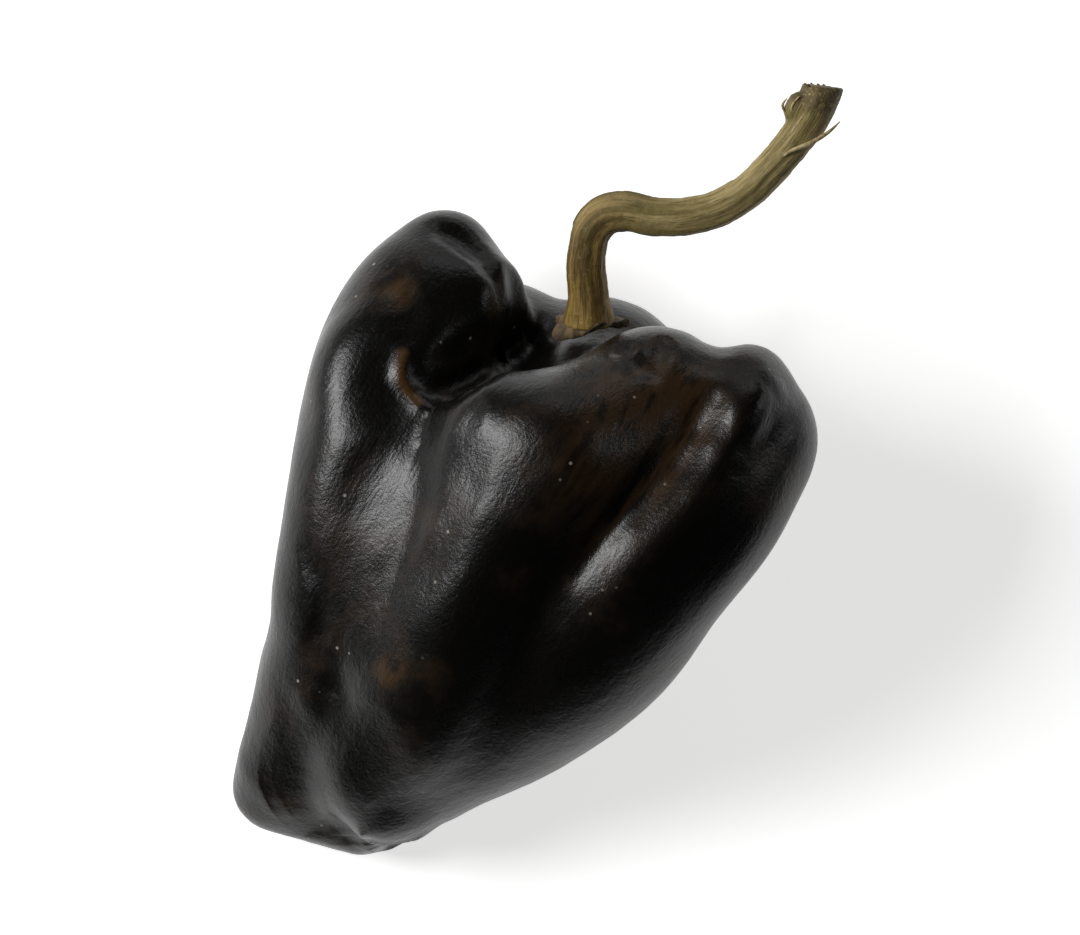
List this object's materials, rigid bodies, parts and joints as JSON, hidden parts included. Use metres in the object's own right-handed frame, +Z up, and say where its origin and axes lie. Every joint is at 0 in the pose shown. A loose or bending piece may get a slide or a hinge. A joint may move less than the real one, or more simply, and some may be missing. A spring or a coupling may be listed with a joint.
{
  "type": "dried chilli pepper",
  "caption": "Lobed, leathery dried chilli pod lying on its side, with a thin star calyx in its shoulder bowl and a bent woody stem.",
  "frame": {"origin": "middle of the bounding box's underside, on the surface the pepper rests on", "axes": "+Z up, +Y the longest extent, from the blossom end towards the stem's cut end, +X to the right"},
  "size_m": [0.062, 0.0784, 0.0365],
  "materials": {
    "pod": "near-black, brown where thin, semi-gloss and finely wrinkled",
    "calyx": "dry, papery olive brown",
    "stem": "dry olive-golden wood with ridges along it"
  },
  "bodies": {
    "root": {"pod": "pod", "calyx": "calyx", "stem": "stem"}
  },
  "joints": []
}
